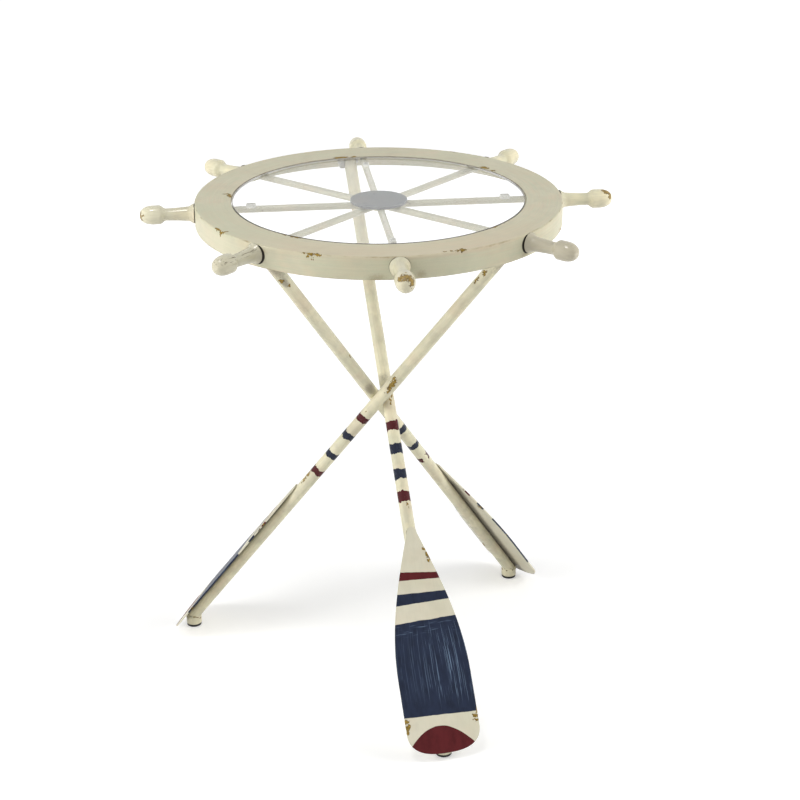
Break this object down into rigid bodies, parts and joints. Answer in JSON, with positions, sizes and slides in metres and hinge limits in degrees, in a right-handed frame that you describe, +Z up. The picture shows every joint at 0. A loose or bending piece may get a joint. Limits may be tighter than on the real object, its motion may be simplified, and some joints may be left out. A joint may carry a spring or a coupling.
{
  "type": "ship wheel end table",
  "caption": "Round end table: a ship's wheel with turned handles and a glass inset, on crossed oars whose flat painted blades splay out at the feet.",
  "frame": {"origin": "on the floor, straight below the middle of the wheel", "axes": "+Z up; +X and +Y along two of the wheel's handles, +Y towards the handle beside the first shaft's upper end; the first shaft's foot is near -Y"},
  "size_m": [0.582, 0.582, 0.635],
  "materials": {
    "cream_paint": "distressed antique cream enamel on steel, rubbed through to gold brown at the edges",
    "blade_paint": "brushed navy, cream and maroon enamel bands on sheet steel, chipped at the edges",
    "glass": "clear float glass with ground edges",
    "pad_rubber": "translucent grey soft rubber",
    "foot_rubber": "matt black rubber",
    "fastener_steel": "plated steel"
  },
  "bodies": {
    "frame": {"rim_plate": "cream_paint", "rim_skirt": "cream_paint", "rim_lip": "cream_paint", "hub_disc": "cream_paint", "hub_boss": "cream_paint", "glass_pads": "pad_rubber", "spoke_1": "cream_paint", "spoke_2": "cream_paint", "spoke_3": "cream_paint", "spoke_4": "cream_paint", "spoke_5": "cream_paint", "spoke_6": "cream_paint", "spoke_7": "cream_paint", "spoke_8": "cream_paint", "handle_1": "cream_paint", "handle_2": "cream_paint", "handle_3": "cream_paint", "handle_4": "cream_paint", "handle_5": "cream_paint", "handle_6": "cream_paint", "handle_7": "cream_paint", "handle_8": "cream_paint", "oar_shaft_1": "cream_paint", "oar_shaft_2": "cream_paint", "oar_shaft_3": "cream_paint", "oar_blade_1": "blade_paint", "oar_blade_2": "blade_paint", "oar_blade_3": "blade_paint", "foot_post_1": "cream_paint", "foot_post_2": "cream_paint", "foot_post_3": "cream_paint", "foot_cap_1": "foot_rubber", "foot_cap_2": "foot_rubber", "foot_cap_3": "foot_rubber", "shaft_lug_1": "cream_paint", "shaft_lug_2": "cream_paint", "shaft_lug_3": "cream_paint", "lug_bolts": "fastener_steel", "lug_nuts": "fastener_steel"},
    "glass": {"glass_top": "glass"}
  },
  "joints": [
    {"name": "glass_lift", "type": "slide", "parent": "frame", "child": "glass", "axis": [0, 0, 1], "range_m": [0, 0.1]}
  ]
}
